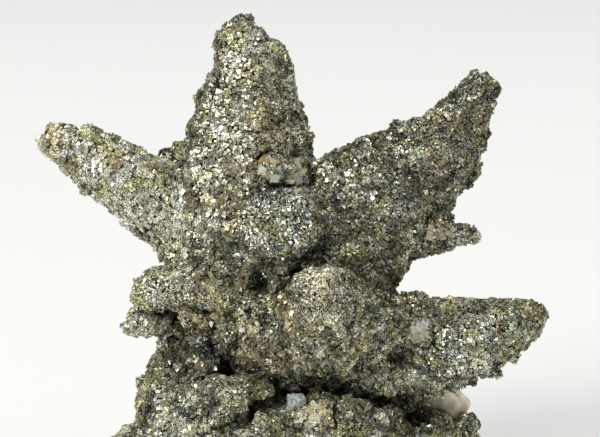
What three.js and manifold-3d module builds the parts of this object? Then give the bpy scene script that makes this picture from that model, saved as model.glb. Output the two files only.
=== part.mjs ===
// A pyrrhotite specimen: a spray of steep, blunt, six-sided crystals under a crust of coarse
// grains, on a broken lump of ore with a few paler crystals in its hollows.
// Millimetres, +Z up. The origin is on the flat broken base, in the middle of the specimen's
// length and depth. +X is to the right, and -Y is the side that one crystal points out of.
import * as THREE from "three";
import { ConvexGeometry } from "three/addons/geometries/ConvexGeometry.js";
import { mergeVertices } from "three/addons/utils/BufferGeometryUtils.js";
import Module from "manifold-3d";

const wasm = await Module();
wasm.setup();

// Driving dimensions, in millimetres.
const GAP = 0.35; // clearance round a piece that sits in a socket of its neighbour
const LEDGE_RISE = 0.15; // length of the small slope on each side of a growth ledge
const LEDGE_SLANT = 1.6; // how far a ledge wanders along its crystal
const FACE_ROUGHNESS = 0.7; // how far the points of a crystal's faces stand in or out
const RING_SPACING = 3.4; // spacing of the points along a crystal
const GRAIN_SINK = 0.2; // share of a grain's size by which its middle lies under the face
const GRAIN_TIP = 0.7; // how far a grain tips over either way, in radians
const BASE_BLOCK = 90; // side of the block that cuts the base flat

// A seeded random source, so that the specimen comes out the same each time.
function randomSource(seed) {
  let state = seed >>> 0;
  return () => {
    state = (state + 0x6d2b79f5) >>> 0;
    let t = state;
    t = Math.imul(t ^ (t >>> 15), t | 1);
    t ^= t + Math.imul(t ^ (t >>> 7), t | 61);
    return ((t ^ (t >>> 14)) >>> 0) / 4294967296;
  };
}

// A random direction, even over the sphere.
function randomDirection(random) {
  const z = 2 * random() - 1;
  const angle = 2 * Math.PI * random();
  const r = Math.sqrt(1 - z * z);
  return new THREE.Vector3(r * Math.cos(angle), r * Math.sin(angle), z);
}

// Between solids and geometries.

function withoutSeams(geometry) {
  const bare = geometry.clone();
  bare.deleteAttribute("normal");
  bare.deleteAttribute("uv");
  return mergeVertices(bare, 1e-4);
}

function solidOf(geometry) {
  const closed = withoutSeams(geometry);
  return new wasm.Manifold(
    new wasm.Mesh({
      numProp: 3,
      vertProperties: closed.getAttribute("position").array,
      triVerts: new Uint32Array(closed.index.array),
    }),
  );
}

function geometryOf(solid) {
  const mesh = solid.getMesh();
  const positions = new Float32Array(mesh.numVert * 3);
  for (let i = 0; i < mesh.numVert; i++) {
    const start = i * mesh.numProp;
    positions.set(mesh.vertProperties.subarray(start, start + 3), i * 3);
  }
  const geometry = new THREE.BufferGeometry();
  geometry.setAttribute("position", new THREE.BufferAttribute(positions, 3));
  geometry.setIndex(new THREE.BufferAttribute(mesh.triVerts, 1));
  geometry.computeVertexNormals();
  return geometry;
}

function joined(solids) {
  return solids.reduce((whole, solid) => whole.add(solid));
}

// The largest of a solid's separate bodies, because a cut can leave crumbs behind.
function largestBody(solid) {
  return solid.decompose().reduce((a, b) => (b.volume() > a.volume() ? b : a));
}

// A grain: a small uneven block that stands on a face, turned about the way it faces.
function grain(foot, outward, size, random, grow = 0) {
  const side = () => size * (0.7 + 0.5 * random()) + 2 * grow;
  const block = withoutSeams(new THREE.BoxGeometry(side(), side(), side()));
  const corners = block.getAttribute("position");
  for (let i = 0; i < corners.count; i++) {
    const corner = new THREE.Vector3().fromBufferAttribute(corners, i);
    corner.addScaledVector(randomDirection(random), 0.14 * size);
    corners.setXYZ(i, ...corner);
  }
  const facing = new THREE.Quaternion().setFromUnitVectors(ALONG_Z, outward);
  const tip = () => GRAIN_TIP * (random() - 0.5);
  const turn = new THREE.Euler(tip(), tip(), 2 * Math.PI * random());
  block.applyQuaternion(facing.multiply(new THREE.Quaternion().setFromEuler(turn)));
  block.translate(...foot.clone().addScaledVector(outward, -GRAIN_SINK * size));
  return solidOf(block);
}

// Half width and half depth of a crystal between its stations, at u from 0 (root) to 1 (tip).
function girthAt(stations, u) {
  const place = u * (stations.length - 1);
  const i = Math.min(Math.floor(place), stations.length - 2);
  const share = place - i;
  const [, , , widthA, depthA] = stations[i];
  const [, , , widthB, depthB] = stations[i + 1];
  return [
    THREE.MathUtils.lerp(widthA, widthB, share),
    THREE.MathUtils.lerp(depthA, depthB, share),
  ];
}

// The centre of a crystal at u, and unit vectors along it and across its width and depth.
function frameAt(spec, u) {
  const tangent = spec.curve.getTangent(u);
  const width = new THREE.Vector3().crossVectors(spec.reference, tangent).normalize();
  const depth = new THREE.Vector3().crossVectors(tangent, width);
  return { centre: spec.curve.getPoint(u), tangent, width, depth };
}

// A point on a crystal's section: a corner is given as shares of the half width and half depth.
function sectionPoint(spec, u, corner, swell) {
  const frame = frameAt(spec, u);
  const [halfWidth, halfDepth] = girthAt(spec.stations, u);
  return frame.centre
    .addScaledVector(frame.width, corner[0] * halfWidth * swell)
    .addScaledVector(frame.depth, corner[1] * halfDepth * swell);
}

// A corner between two of the outline's corners.
function between(outline, side, share) {
  const next = outline[(side + 1) % outline.length];
  return [
    THREE.MathUtils.lerp(outline[side][0], next[0], share),
    THREE.MathUtils.lerp(outline[side][1], next[1], share),
  ];
}

// The outline's corners with the middle of each side between them.
function withMiddles(outline) {
  return outline.flatMap((corner, side) => [corner, between(outline, side, 0.5)]);
}

// A crystal as a loft of its outline along its curve. Its faces are rough, and at each growth
// ledge some of them step in by the share `step`. The ledges don't run level round the crystal.
function crystalSolid(spec) {
  const random = randomSource(spec.seed);
  const uneven = (size) => size * (random() - 0.5);
  const outline = withMiddles(spec.outline);
  const length = spec.curve.getLength();
  const rise = LEDGE_RISE / length;
  const ledges = [0, ...spec.ledges, 1].map((u) => ({
    u,
    slants: outline.map(() => (u === 0 || u === 1 ? 0 : uneven(LEDGE_SLANT / length))),
    steps: outline.map(() => (random() < 0.6 ? spec.step : 0.2 * spec.step)),
  }));
  const points = [];
  for (let k = 0; k < ledges.length - 1; k++) {
    const [below, above] = [ledges[k], ledges[k + 1]];
    const rings = Math.max(1, Math.round(((above.u - below.u) * length) / RING_SPACING));
    for (let ring = 0; ring <= rings; ring++) {
      const share = ring / rings;
      const onLedge = ring === 0 || ring === rings;
      outline.forEach((corner, i) => {
        const start = below.u + below.slants[i] + (k > 0 ? rise : 0);
        const end = above.u + above.slants[i] - (k < ledges.length - 2 ? rise : 0);
        const shift = onLedge ? 0 : uneven((0.7 * (end - start)) / rings);
        const u = THREE.MathUtils.lerp(start, end, share) + shift;
        const step = THREE.MathUtils.lerp(-below.steps[i], above.steps[i], share) / 2;
        const [halfWidth] = girthAt(spec.stations, u);
        const swell = 1 + step + uneven(FACE_ROUGHNESS) / halfWidth;
        points.push(sectionPoint(spec, u, corner, swell));
      });
    }
  }
  const count = outline.length;
  const last = points.length - count;
  const index = [];
  for (let start = 0; start < last; start += count) {
    for (let i = 0; i < count; i++) {
      const a = start + i;
      const b = start + ((i + 1) % count);
      index.push(a, b, a + count, b, b + count, a + count);
    }
  }
  const head = frameAt(spec, 1);
  const root = points.push(frameAt(spec, 0).centre) - 1;
  const tip = points.push(head.centre.addScaledVector(head.tangent, spec.tipRise)) - 1;
  for (let i = 0; i < count; i++) {
    const next = (i + 1) % count;
    index.push(root, next, i);
    index.push(tip, last + i, last + next);
  }
  const geometry = new THREE.BufferGeometry().setFromPoints(points);
  geometry.setIndex(index);
  return solidOf(geometry);
}

// The coarse grains on a crystal.
function crystalGrains(spec) {
  const random = randomSource(spec.seed + 1000);
  const [smallest, largest] = spec.grainSize;
  return Array.from({ length: spec.grains }, () => {
    const u = THREE.MathUtils.lerp(spec.grainsFrom, 1, random());
    const side = Math.floor(random() * spec.outline.length);
    const foot = sectionPoint(spec, u, between(spec.outline, side, random()), 1);
    const outward = foot.clone().sub(spec.curve.getPoint(u)).normalize();
    const size = THREE.MathUtils.lerp(smallest, largest, random() ** 2);
    return grain(foot, outward, size, random);
  });
}

// A lump with flat breaks: the hull of uneven points round an ellipsoid. `grow` pushes it out,
// and `tilt` raises its right end by that many degrees.
function lump(spec, grow = 0) {
  const { at, radii, tilt = 0, points = 34, unevenness = 0.16, seed } = spec;
  const random = randomSource(seed);
  const hull = Array.from({ length: points }, () => {
    const direction = randomDirection(random);
    const swell = 1 + unevenness * (random() - 0.5);
    const point = new THREE.Vector3(...radii).multiply(direction).multiplyScalar(swell);
    return point.addScaledVector(direction, grow);
  });
  const geometry = new ConvexGeometry(hull);
  geometry.rotateY(-THREE.MathUtils.degToRad(tilt));
  geometry.translate(...at);
  return solidOf(geometry);
}

// The coarse grains round a lump.
function lumpGrains({ at, radii, seed, grains = 0, grainSize = [1.5, 3.0] }, grow = 0) {
  const random = randomSource(seed + 2000);
  return Array.from({ length: grains }, () => {
    const direction = randomDirection(random);
    const reach = new THREE.Vector3(...radii).multiply(direction).multiplyScalar(0.96);
    const size = THREE.MathUtils.lerp(grainSize[0], grainSize[1], random() ** 2);
    return grain(reach.add(new THREE.Vector3(...at)), direction, size, random, grow);
  });
}

// Six-sided outlines, as shares of half width and half depth, where -1 of the depth is in front.
const BROAD_FRONT = [
  [-1, -0.12],
  [-0.8, -0.72],
  [0.22, -1],
  [1, -0.28],
  [0.72, 0.78],
  [-0.42, 1],
];
const BROAD_FRONT_MIRRORED = BROAD_FRONT.map(([u, v]) => [-u, v]).reverse();
const RIDGED_FRONT = [
  [-1, 0.1],
  [-0.5, -0.82],
  [0.45, -1],
  [1, -0.1],
  [0.5, 0.92],
  [-0.55, 0.88],
];
const EVEN_SIX = [
  [-1, 0.05],
  [-0.52, -0.9],
  [0.5, -0.88],
  [1, 0],
  [0.48, 0.9],
  [-0.5, 0.86],
];

// The crystals. A station is [x, y, z, half width, half depth], from the root to the blunt tip.
const ALONG_Y = new THREE.Vector3(0, 1, 0);
const ALONG_Z = new THREE.Vector3(0, 0, 1);

const TOP_CRYSTAL = {
  reference: ALONG_Y,
  stations: [
    [-6.4, 1.0, 32.3, 9.8, 8.0],
    [-6.4, 1.0, 38.3, 9.3, 7.4],
    [-6.6, 1.2, 43.9, 8.5, 6.5],
    [-6.3, 1.5, 48.4, 7.5, 5.6],
    [-5.9, 1.8, 52.6, 6.4, 4.7],
    [-6.2, 2.0, 56.4, 4.8, 3.8],
    [-7.2, 2.0, 59.0, 3.5, 2.9],
    [-6.3, 2.0, 60.8, 1.9, 1.6],
  ],
  outline: BROAD_FRONT,
  ledges: [0.42, 0.7, 0.86],
  step: 0.09,
  tipRise: 0.2,
  grains: 10,
  grainsFrom: 0.3,
  grainSize: [1.2, 2.2],
  seed: 11,
};
const LEFT_CRYSTAL = {
  reference: ALONG_Y,
  stations: [
    [-8.0, 2.2, 31.4, 6.7, 6.6],
    [-12.2, 2.0, 34.4, 5.9, 5.8],
    [-17.0, 1.8, 38.0, 5.2, 5.2],
    [-21.6, 1.6, 41.2, 4.5, 4.6],
    [-25.5, 1.3, 43.9, 3.9, 4.1],
    [-28.9, 0.8, 45.7, 3.3, 3.3],
    [-31.4, 0.5, 47.0, 1.7, 1.8],
  ],
  outline: RIDGED_FRONT,
  ledges: [0.45, 0.78],
  step: 0.06,
  tipRise: 0.6,
  grains: 9,
  grainsFrom: 0.25,
  grainSize: [1.1, 2.0],
  seed: 21,
};
const RIGHT_CRYSTAL = {
  reference: ALONG_Y,
  stations: [
    [3.8, 0.5, 34.5, 9.5, 7.4],
    [8.1, 0.4, 37.9, 8.7, 6.7],
    [12.0, 0.5, 41.1, 7.5, 5.8],
    [15.6, 0.8, 43.6, 6.5, 4.9],
    [18.5, 1.2, 46.5, 4.8, 4.0],
    [20.7, 1.4, 49.8, 3.3, 3.1],
    [22.0, 1.6, 52.6, 2.6, 2.4],
    [22.9, 1.7, 54.4, 1.6, 1.5],
  ],
  outline: BROAD_FRONT_MIRRORED,
  ledges: [0.3, 0.56, 0.8],
  step: 0.07,
  tipRise: 0.3,
  grains: 10,
  grainsFrom: 0.2,
  grainSize: [1.1, 2.1],
  seed: 31,
};
const SMALL_RIGHT_CRYSTAL = {
  reference: ALONG_Y,
  stations: [
    [13.1, -1.5, 34.3, 2.9, 2.8],
    [16.2, -1.6, 34.6, 2.4, 2.3],
    [19.2, -1.8, 35.0, 1.7, 1.6],
    [21.9, -2.0, 35.3, 0.8, 0.8],
  ],
  outline: EVEN_SIX,
  ledges: [0.6],
  step: 0.06,
  tipRise: 0.3,
  grains: 4,
  grainsFrom: 0.3,
  grainSize: [0.8, 1.3],
  seed: 41,
};
const LOWER_RIGHT_CRYSTAL = {
  reference: ALONG_Y,
  stations: [
    [7.6, 0.0, 19.4, 7.2, 6.8],
    [14.1, -1.2, 20.4, 6.6, 6.2],
    [19.0, -2.3, 21.5, 5.7, 5.4],
    [23.0, -3.1, 22.6, 4.9, 4.8],
    [26.4, -3.6, 24.0, 3.8, 3.8],
    [28.9, -4.0, 25.0, 2.4, 2.5],
    [30.4, -4.2, 25.4, 1.3, 1.3],
  ],
  outline: RIDGED_FRONT,
  ledges: [0.5, 0.82],
  step: 0.06,
  tipRise: 0.3,
  grains: 8,
  grainsFrom: 0.3,
  grainSize: [1.1, 2.0],
  seed: 51,
};
const MIDDLE_LEFT_CRYSTAL = {
  reference: ALONG_Y,
  stations: [
    [-7.5, -1.5, 29.8, 5.6, 5.6],
    [-12.4, -3.0, 29.6, 4.1, 4.6],
    [-15.5, -4.0, 29.3, 3.1, 3.6],
    [-18.2, -4.6, 28.7, 2.3, 2.8],
    [-20.6, -5.1, 27.9, 1.3, 1.6],
  ],
  outline: RIDGED_FRONT,
  ledges: [0.6],
  step: 0.06,
  tipRise: 0.3,
  grains: 5,
  grainsFrom: 0.3,
  grainSize: [1.0, 1.8],
  seed: 61,
};
const OUTWARD_CRYSTAL = {
  reference: ALONG_Z,
  stations: [
    [4.2, 0.0, 22.0, 9.6, 8.6],
    [3.9, -5.0, 24.6, 7.8, 7.4],
    [3.3, -9.6, 27.4, 5.8, 5.6],
    [2.5, -13.4, 29.8, 3.9, 3.8],
    [1.9, -16.0, 31.4, 2.0, 2.0],
  ],
  outline: EVEN_SIX,
  ledges: [0.55],
  step: 0.06,
  tipRise: 0.4,
  grains: 4,
  grainsFrom: 0.3,
  grainSize: [1.1, 2.0],
  seed: 71,
};
// A short broad crystal, of which the flat end faces out below the top crystal.
const PLATEAU_CRYSTAL = {
  reference: ALONG_Z,
  stations: [
    [-2.0, 0.0, 35.4, 8.4, 7.0],
    [-2.2, -4.4, 36.6, 7.2, 5.8],
    [-2.4, -7.8, 37.6, 5.4, 4.0],
  ],
  outline: EVEN_SIX,
  ledges: [0.45],
  step: 0.05,
  tipRise: 0.2,
  grains: 3,
  grainsFrom: 0.5,
  grainSize: [1.1, 1.8],
  seed: 75,
};
const BACK_LEFT_STUB = {
  reference: ALONG_Y,
  stations: [
    [-9.5, 5.0, 36.3, 4.6, 4.6],
    [-13.4, 6.2, 40.6, 3.6, 3.6],
    [-15.5, 7.2, 43.3, 2.5, 2.4],
    [-16.1, 7.6, 44.4, 1.3, 1.3],
  ],
  outline: EVEN_SIX,
  ledges: [0.5],
  step: 0.05,
  tipRise: 0.3,
  grains: 4,
  grainsFrom: 0.3,
  grainSize: [1.0, 1.8],
  seed: 81,
};
const BACK_CRYSTAL = {
  reference: ALONG_Z,
  stations: [
    [2.0, 3.0, 29.0, 9.0, 8.4],
    [3.0, 8.4, 31.0, 7.0, 6.6],
    [4.0, 12.6, 33.2, 5.0, 4.8],
    [4.7, 15.8, 35.0, 2.6, 2.6],
  ],
  outline: EVEN_SIX,
  ledges: [0.5],
  step: 0.06,
  tipRise: 0.4,
  grains: 4,
  grainsFrom: 0.3,
  grainSize: [1.1, 2.0],
  seed: 91,
};
const CRYSTALS = [
  TOP_CRYSTAL,
  LEFT_CRYSTAL,
  RIGHT_CRYSTAL,
  SMALL_RIGHT_CRYSTAL,
  LOWER_RIGHT_CRYSTAL,
  MIDDLE_LEFT_CRYSTAL,
  OUTWARD_CRYSTAL,
  PLATEAU_CRYSTAL,
  BACK_LEFT_STUB,
  BACK_CRYSTAL,
];
for (const spec of CRYSTALS) {
  const centres = spec.stations.map(([x, y, z]) => new THREE.Vector3(x, y, z));
  spec.curve = new THREE.CatmullRomCurve3(centres);
}

// The body that the crystals grow from, and the hollow under its left edge.
const BODY_LUMPS = [
  { at: [-4.4, 0.5, 35.2], radii: [12.2, 9.0, 6.6], seed: 101, grains: 3 },
  { at: [6.6, -0.5, 32.4], radii: [8.2, 7.4, 6.4], seed: 102, grains: 3 },
  { at: [-1.4, -1.0, 24.6], radii: [10.8, 9.4, 8.6], seed: 103, grains: 3 },
  { at: [-13.0, 0.8, 33.6], radii: [5.0, 5.4, 3.9], seed: 104, grains: 2 },
  { at: [8.4, -0.5, 22.4], radii: [6.2, 7.6, 6.8], seed: 105, grains: 2 },
  { at: [-19.0, -3.2, 24.6], radii: [2.5, 3.0, 2.0], points: 26, seed: 106, grains: 2 },
  { at: [-14.5, 0.6, 25.2], radii: [6.0, 3.6, 4.4], seed: 107, grains: 2 },
];
const BODY_HOLLOWS = [
  { at: [-15.0, -4.6, 24.6], radii: [2.6, 3.0, 1.9], points: 26, seed: 151 },
];

// The broken ore below: a core, lumps round its foot, and lumps and slanting slabs on top.
const MATRIX_LUMPS = [
  { at: [0.0, 0.5, 4.0], radii: [20.0, 11.5, 9.4], points: 40, seed: 201 },
  { at: [-18.6, -3.6, 4.8], radii: [8.0, 7.4, 7.8], points: 26, seed: 221, grains: 2 },
  { at: [-15.6, 6.0, 6.4], radii: [7.2, 7.0, 7.4], points: 26, seed: 222, grains: 2 },
  { at: [-6.6, -8.6, 4.8], radii: [7.6, 6.4, 6.8], points: 26, seed: 223, grains: 1 },
  { at: [5.4, -8.4, 4.4], radii: [8.0, 6.6, 6.8], points: 26, seed: 224, grains: 1 },
  { at: [16.2, -4.4, 4.4], radii: [6.8, 7.2, 6.8], points: 26, seed: 225, grains: 2 },
  { at: [17.0, 5.4, 4.2], radii: [6.4, 7.0, 6.4], points: 26, seed: 226 },
  { at: [8.0, 9.6, 4.8], radii: [8.0, 6.4, 7.0], points: 26, seed: 227 },
  { at: [-4.6, 9.6, 6.0], radii: [8.0, 6.6, 8.4], points: 26, seed: 228 },
  { at: [-14.3, -3.0, 11.4], radii: [8.4, 8.0, 7.0], seed: 202, grains: 3 },
  { at: [-13.6, 3.0, 17.0], radii: [5.6, 6.0, 5.6], points: 26, seed: 203, grains: 3 },
  { at: [-4.0, 6.0, 15.4], radii: [11.0, 6.6, 7.6], points: 30, seed: 204 },
  { at: [10.4, 4.0, 12.6], radii: [6.6, 5.0, 3.8], points: 26, seed: 217 },
  { at: [1.0, -4.6, 10.4], radii: [12.4, 8.6, 5.0], points: 30, seed: 205, grains: 2 },
  { at: [15.8, 6.8, 7.6], radii: [7.0, 6.6, 4.4], points: 30, seed: 206, grains: 2 },
  { at: [-11.4, -7.6, 16.0], radii: [7.6, 3.6, 1.7], tilt: 19, points: 24, seed: 207 },
  { at: [-12.4, -8.6, 13.2], radii: [7.2, 4.0, 1.6], tilt: 21, points: 24, seed: 208 },
  { at: [-6.8, -10.4, 11.2], radii: [6.6, 4.0, 2.0], tilt: 17, points: 24, seed: 209 },
  { at: [-12.2, -4.8, 21.2], radii: [2.3, 2.4, 2.0], points: 20, seed: 210 },
  { at: [-17.6, -1.6, 17.4], radii: [1.8, 2.4, 2.0], points: 20, seed: 211 },
  { at: [-1.6, -8.8, 16.6], radii: [1.7, 1.8, 1.5], points: 18, seed: 212 },
  { at: [-4.8, -8.6, 17.0], radii: [1.5, 1.7, 1.4], points: 18, seed: 213 },
  { at: [5.2, -8.6, 13.6], radii: [4.4, 3.4, 2.4], points: 24, seed: 214, grains: 1 },
  { at: [17.4, 1.4, 9.8], radii: [2.2, 2.2, 1.8], points: 18, seed: 215 },
  { at: [20.8, 2.4, 9.4], radii: [2.4, 2.4, 2.0], points: 18, seed: 216 },
];

// The crystals of other minerals: blocks with flat faces, and small rounded ones.
function block({ at, size, turn = [0, 0, 0] }, grow = 0) {
  const [width, depth, height] = size.map((side) => side + 2 * grow);
  const geometry = new THREE.BoxGeometry(width, depth, height);
  const [x, y, z] = turn.map(THREE.MathUtils.degToRad);
  geometry.applyMatrix4(new THREE.Matrix4().makeRotationFromEuler(new THREE.Euler(x, y, z)));
  geometry.translate(...at);
  return solidOf(geometry);
}

function blocks(list, grow) {
  return joined(list.map((spec) => block(spec, grow)));
}

function roundedCrystals(list, grow) {
  return joined(
    list.map(([x, y, z, radius]) => {
      const geometry = new THREE.IcosahedronGeometry(1.08 * radius + grow);
      geometry.translate(x, y, z);
      return solidOf(geometry);
    }),
  );
}

const CALCITE = { at: [18.8, 5.0, 11.9], radii: [3.4, 3.0, 2.2], points: 30, seed: 301 };
const GALENA_CUBE = { at: [-0.5, -7.9, 14.9], size: [1.8, 1.8, 1.8], turn: [8, 4, 10] };
const UPPER_CARBONATES = [
  { at: [-2.4, -3.5, 43.2], size: [3.4, 1.4, 1.6], turn: [0, 0, 38] },
  { at: [-3.9, -4.4, 44.8], size: [1.6, 1.4, 1.0], turn: [0, -14, 24] },
  { at: [-2.6, -3.5, 44.3], size: [1.5, 1.3, 1.3], turn: [12, 10, 48] },
  { at: [-4.2, -4.9, 43.6], size: [1.4, 1.3, 1.3], turn: [0, 18, 10] },
  { at: [-0.7, -2.3, 43.6], size: [1.4, 1.3, 1.2], turn: [0, -20, 52] },
  { at: [-3.0, -4.4, 42.7], size: [1.5, 1.3, 1.2], turn: [10, 8, 40] },
  { at: [-1.8, -3.6, 42.1], size: [1.9, 1.2, 1.0], turn: [0, -6, 34] },
  { at: [-0.6, -2.6, 42.2], size: [1.6, 1.3, 1.3], turn: [16, 12, 20] },
];
const SIDE_CARBONATES = [
  { at: [17.3, -3.0, 36.4], size: [2.2, 1.4, 1.8], turn: [0, -8, 0] },
  { at: [16.6, -3.3, 35.0], size: [1.6, 1.4, 1.4], turn: [6, 6, -14] },
];
const FLAT_CRYSTAL = { at: [14.8, -6.2, 23.4], size: [1.8, 1.0, 2.2], turn: [-14, 8, -6] };
const LOWER_CARBONATES = [
  { at: [2.2, -9.9, 13.9], size: [1.7, 1.6, 1.5], turn: [0, 20, 30] },
  { at: [0.9, -10.4, 13.6], size: [1.6, 1.5, 1.5], turn: [24, 0, 12] },
  { at: [3.1, -9.7, 14.6], size: [1.5, 1.4, 1.4], turn: [0, -16, 40] },
  { at: [1.7, -10.9, 13.2], size: [1.4, 1.4, 1.3], turn: [12, 12, 0] },
];
const HOLLOW_CARBONATES = [
  [-14.3, -4.4, 25.9, 1.0],
  [-13.5, -3.9, 25.2, 0.95],
  [-12.6, -3.4, 24.6, 0.9],
  [-11.6, -3.4, 24.1, 0.95],
];
const BROWN_CRYSTAL = [[-12.4, -2.2, 18.3, 1.2]];

const ACCENTS = [
  { name: "calcite_crystal", shape: (grow) => lump(CALCITE, grow), color: 0xd8d2b4 },
  { name: "galena_cube", shape: (grow) => block(GALENA_CUBE, grow), color: 0x8c9499 },
  { name: "upper_carbonates", shape: (grow) => blocks(UPPER_CARBONATES, grow), color: 0xb8a68a },
  { name: "side_carbonates", shape: (grow) => blocks(SIDE_CARBONATES, grow), color: 0xb39f8c },
  { name: "flat_crystal", shape: (grow) => block(FLAT_CRYSTAL, grow), color: 0x9a9398 },
  { name: "lower_carbonates", shape: (grow) => blocks(LOWER_CARBONATES, grow), color: 0xc4b183 },
  {
    name: "hollow_carbonates",
    shape: (grow) => roundedCrystals(HOLLOW_CARBONATES, grow),
    color: 0xa8946c,
  },
  {
    name: "brown_crystal",
    shape: (grow) => roundedCrystals(BROWN_CRYSTAL, grow),
    color: 0x7a6145,
  },
];

function crystalWithGrains(spec) {
  return joined([crystalSolid(spec), ...crystalGrains(spec)]);
}

function lumpWithGrains(spec, grow = 0) {
  return joined([lump(spec, grow), ...lumpGrains(spec, grow)]);
}

const ground = new THREE.BoxGeometry(BASE_BLOCK, BASE_BLOCK, BASE_BLOCK);
ground.translate(0, 0, -BASE_BLOCK / 2);
const accentSockets = joined(ACCENTS.map(({ shape }) => shape(GAP)));
const matrixSocket = joined(MATRIX_LUMPS.map((spec) => lumpWithGrains(spec, GAP)));

const matrixSolid = joined(MATRIX_LUMPS.map((spec) => lumpWithGrains(spec)))
  .subtract(solidOf(ground))
  .subtract(accentSockets);
const clusterSolid = joined([
  ...CRYSTALS.map(crystalWithGrains),
  ...BODY_LUMPS.map((spec) => lumpWithGrains(spec)),
])
  .subtract(joined(BODY_HOLLOWS.map((spec) => lump(spec))))
  .subtract(matrixSocket)
  .subtract(accentSockets);

const METALLIC_CRUST = { color: 0x6f6c5e, roughness: 0.42, metalness: 0.75 };
const DARK_ORE = { color: 0x64655a, roughness: 0.5, metalness: 0.6 };
const PIECES = [
  { name: "pyrrhotite_cluster", solid: largestBody(clusterSolid), look: METALLIC_CRUST },
  { name: "ore_matrix", solid: largestBody(matrixSolid), look: DARK_ORE },
  ...ACCENTS.map(({ name, shape, color }) => ({
    name,
    solid: shape(0),
    look: { color, roughness: 0.45 },
  })),
];

// The origin goes to the middle of the whole specimen's length and depth.
const extent = new THREE.Box3();
for (const { solid } of PIECES) {
  const { min, max } = solid.boundingBox();
  extent.union(new THREE.Box3(new THREE.Vector3(...min), new THREE.Vector3(...max)));
}
const middle = extent.getCenter(new THREE.Vector3());

const specimen = new THREE.Group();
specimen.name = "pyrrhotite_specimen";
for (const { name, solid, look } of PIECES) {
  const material = new THREE.MeshStandardMaterial({ ...look, flatShading: true });
  const mesh = new THREE.Mesh(geometryOf(solid), material);
  mesh.geometry.translate(-middle.x, -middle.y, 0);
  mesh.name = name;
  specimen.add(mesh);
}

export default specimen;
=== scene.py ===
import math

import bmesh
import bpy
import numpy as np
from mathutils import Euler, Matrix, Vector, noise
from mathutils.bvhtree import BVHTree
from mathutils.kdtree import KDTree


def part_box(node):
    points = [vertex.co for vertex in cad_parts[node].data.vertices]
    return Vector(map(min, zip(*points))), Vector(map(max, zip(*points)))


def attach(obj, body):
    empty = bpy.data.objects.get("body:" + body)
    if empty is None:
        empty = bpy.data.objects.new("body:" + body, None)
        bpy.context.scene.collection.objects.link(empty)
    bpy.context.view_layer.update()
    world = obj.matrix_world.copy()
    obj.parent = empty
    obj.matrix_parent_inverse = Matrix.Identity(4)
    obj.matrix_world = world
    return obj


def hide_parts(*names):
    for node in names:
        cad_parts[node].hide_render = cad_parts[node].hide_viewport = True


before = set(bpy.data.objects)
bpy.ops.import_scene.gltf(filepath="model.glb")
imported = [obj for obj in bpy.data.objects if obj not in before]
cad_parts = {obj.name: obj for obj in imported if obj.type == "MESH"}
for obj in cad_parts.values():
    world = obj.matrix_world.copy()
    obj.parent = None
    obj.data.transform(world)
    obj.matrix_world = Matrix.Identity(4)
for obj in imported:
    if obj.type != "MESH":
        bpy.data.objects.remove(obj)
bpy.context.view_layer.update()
noise.seed_set(1)  # noise_vector would otherwise differ from one run to the next

MM = 0.001  # a millimetre in Blender's metres

# Camera, as the photograph was framed. Its picture is 600 x 437 pixels.
PICTURE_WIDTH = 600
PICTURE_HEIGHT = 437
CAMERA_ELEVATION = math.radians(10)
CAMERA_DISTANCE = 300 * MM
CAMERA_TARGET = Vector((0.892, -0.045, 36.734)) * MM
FIELD_WIDTH = 75 * MM  # what the picture's width takes in at the target
SENSOR_WIDTH = 36  # millimetres

# The surface under the grains.
BASE_VOXEL = 0.40 * MM
CALM_ROUNDS = 9  # how widely its normals are averaged for the grains to face one way
FLAT_FOOT = 0.3 * MM  # below this height it stays as the solid is
LEDGE_LENGTH = 2.3  # millimetres from one growth ledge to the next
LEDGE_WANDER = 4 * MM
SWELL = 0.35  # millimetres of slow unevenness
SWELL_LENGTH = 3.2 * MM
CREASE_LENGTH = 1.7 * MM
MOTTLE_LENGTH = 1.5 * MM  # of light and dark between the grains

# The grains.
CANDIDATES_PER_MM2 = 36
PACKING = 0.76  # the distance of two grains, as a part of their size
GRAIN_ROOM = 0.25  # the surface is sunk by this part of its largest grain, to make room for the grains
CLEAR_OF_NEIGHBOUR = 0.9 * MM  # no grains where a big lump is nearer than this
CLEAR_OF_FLOOR = 0.4 * MM
COARSE_LENGTH = 2.0 * MM  # from patches of coarse grains to patches of fine ones
LEAN_LENGTH = 1.2 * MM  # how far grains lean over together
MIRROR_TURN = 0.9  # how fully the grains of a shining patch turn one way
MIRROR_PAINTED_HIGHLIGHT = 0.7  # and how far their colour is painted silvery, as a painted highlight
SHELTER_RAYS = 9
SHELTER_REACH = 5 * MM  # how far off a wall still shades a hollow
HOLLOW_PAINTED_SHADE = 0.8  # how much darker the grains in a deep hollow are painted, as painted shade
GRAINS_PER_PIECE = 16000
BAND_LENGTH = 1.1  # millimetres from one growth band to the next
LIGHTEST = 0.99  # a lighter colour is darkened as a whole, so that it keeps its hue

# Lights: azimuth from the front to the right, elevation, distance and side in metres, watts, colour.
KEY_AZIMUTH = -42
KEY_ELEVATION = 30
LIGHTS = {
    "key": (KEY_AZIMUTH, KEY_ELEVATION, 1.6, 0.7, 16.5, (1.0, 0.99, 0.95)),
    "top": (180, 70, 1.8, 1.0, 9.0, (1, 1, 1)),
    "right": (70, 25, 1.6, 0.6, 2.5, (1, 1, 1)),
}


# Camera

def make_camera():
    """The camera stands where the photograph was taken from."""
    data = bpy.data.cameras.new("camera")
    data.sensor_width = SENSOR_WIDTH
    data.lens = SENSOR_WIDTH * CAMERA_DISTANCE / FIELD_WIDTH
    data.clip_start = 10 * MM
    data.clip_end = 20
    camera = bpy.data.objects.new("camera", data)
    bpy.context.scene.collection.objects.link(camera)
    back = Vector((0, -math.cos(CAMERA_ELEVATION), math.sin(CAMERA_ELEVATION)))
    camera.location = CAMERA_TARGET + back * CAMERA_DISTANCE
    camera.rotation_euler = (math.pi / 2 - CAMERA_ELEVATION, 0, 0)
    bpy.context.scene.camera = camera


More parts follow.
